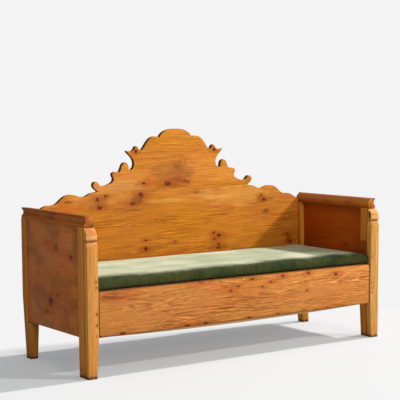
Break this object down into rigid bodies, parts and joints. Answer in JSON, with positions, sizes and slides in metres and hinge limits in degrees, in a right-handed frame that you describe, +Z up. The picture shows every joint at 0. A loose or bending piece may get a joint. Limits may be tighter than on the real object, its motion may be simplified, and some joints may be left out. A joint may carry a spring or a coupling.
{
  "type": "pull-out bench bed",
  "caption": "Old pine settle with panelled arms, fretted crest and green velvet mattress, whose board front and front legs pull out on slats to make a bed.",
  "frame": {"origin": "middle of the bench's bounding box in plan, on the floor plane", "axes": "X along the bench, Y from the front board to the back, Z up"},
  "size_m": [1.9, 0.694, 1.192],
  "materials": {
    "back_pine": "old waxed pine, honey coloured, with knots",
    "front_pine": "old waxed pine with worn edges and dark knots",
    "post_pine": "old waxed pine, browner and duller than the boards",
    "panel_pine": "old waxed pine boards, red brown, level grain",
    "rail_pine": "old waxed pine moulding, rubbed bright on the crown",
    "inside_pine": "bare pine, pale and dry",
    "peg_wood": "dark end grain",
    "nail_iron": "forged iron, dull and dark",
    "green_velvet": "green cotton velvet, short pile with a pale sheen"
  },
  "bodies": {
    "frame": {"left_front_stile": "post_pine", "left_rear_post": "post_pine", "left_side_panel": "panel_pine", "left_arm_rail": "rail_pine", "left_lid_cleat": "inside_pine", "left_stop_block": "inside_pine", "right_front_stile": "post_pine", "right_rear_post": "post_pine", "right_side_panel": "panel_pine", "right_arm_rail": "rail_pine", "right_lid_cleat": "inside_pine", "right_stop_block": "inside_pine", "back_box_board": "back_pine", "back_rest_board": "back_pine", "back_crest_board": "back_pine", "left_back_batten": "inside_pine", "centre_back_batten": "inside_pine", "right_back_batten": "inside_pine", "back_batten_nails": "nail_iron", "rear_sill": "inside_pine", "front_cross_rail": "inside_pine", "rear_lid_ledge": "inside_pine", "fixed_slat_1": "inside_pine", "fixed_slat_2": "inside_pine", "fixed_slat_3": "inside_pine", "fixed_slat_4": "inside_pine", "fixed_slat_5": "inside_pine", "fixed_slat_6": "inside_pine", "fixed_slat_7": "inside_pine", "fixed_slat_8": "inside_pine", "fixed_slat_9": "inside_pine"},
    "pull_out": {"front_board": "front_pine", "left_pilaster_leg": "front_pine", "right_pilaster_leg": "front_pine", "pilaster_pegs": "peg_wood", "left_drawer_side": "inside_pine", "right_drawer_side": "inside_pine", "front_slat_ledge": "inside_pine", "moving_slat_batten": "inside_pine", "front_lid_ledge": "inside_pine", "moving_slat_1": "inside_pine", "moving_slat_2": "inside_pine", "moving_slat_3": "inside_pine", "moving_slat_4": "inside_pine", "moving_slat_5": "inside_pine", "moving_slat_6": "inside_pine", "moving_slat_7": "inside_pine", "moving_slat_8": "inside_pine"},
    "lid": {"front_lid_board": "inside_pine", "middle_lid_board": "inside_pine", "rear_lid_board": "inside_pine", "left_lid_batten": "inside_pine", "centre_lid_batten": "inside_pine", "right_lid_batten": "inside_pine"},
    "mattress": {"mattress": "green_velvet"}
  },
  "joints": [
    {"name": "front_pull_out", "type": "slide", "parent": "frame", "child": "pull_out", "axis": [0, -1, 0], "range_m": [0, 0.45]},
    {"name": "lid_lift", "type": "slide", "parent": "frame", "child": "lid", "axis": [0, 0, 1], "range_m": [0, 0.25]},
    {"name": "mattress_lift", "type": "slide", "parent": "lid", "child": "mattress", "axis": [0, 0, 1], "range_m": [0, 0.3]}
  ]
}
